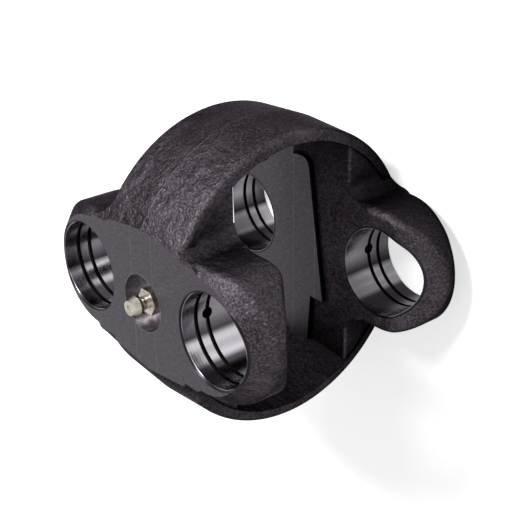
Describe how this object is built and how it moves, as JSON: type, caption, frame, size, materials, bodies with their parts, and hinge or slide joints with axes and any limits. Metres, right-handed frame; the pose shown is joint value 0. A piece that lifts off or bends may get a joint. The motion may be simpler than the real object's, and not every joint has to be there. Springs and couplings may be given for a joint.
{
  "type": "propeller shaft centre yoke",
  "caption": "Forged steel centre yoke of a double universal joint: a short ring with an eared plate on each side and a grease fitting.",
  "frame": {"origin": "centre of the footprint, on the surface the yoke lies on (the lower milled face)", "axes": "+X along the shaft toward the front pair of ears, +Z along the bearing bores toward the side with the grease fitting"},
  "size_m": [0.1102, 0.1028, 0.0955],
  "materials": {
    "forged_steel": "forged skin, dark, with milled faces and bright bores",
    "plated_steel": "zinc plated, bright",
    "ball_steel": "polished",
    "spring_steel": "drawn wire"
  },
  "bodies": {
    "root": {"yoke": "forged_steel", "grease_fitting": "plated_steel", "fitting_ball": "ball_steel", "fitting_spring": "spring_steel"}
  },
  "joints": []
}
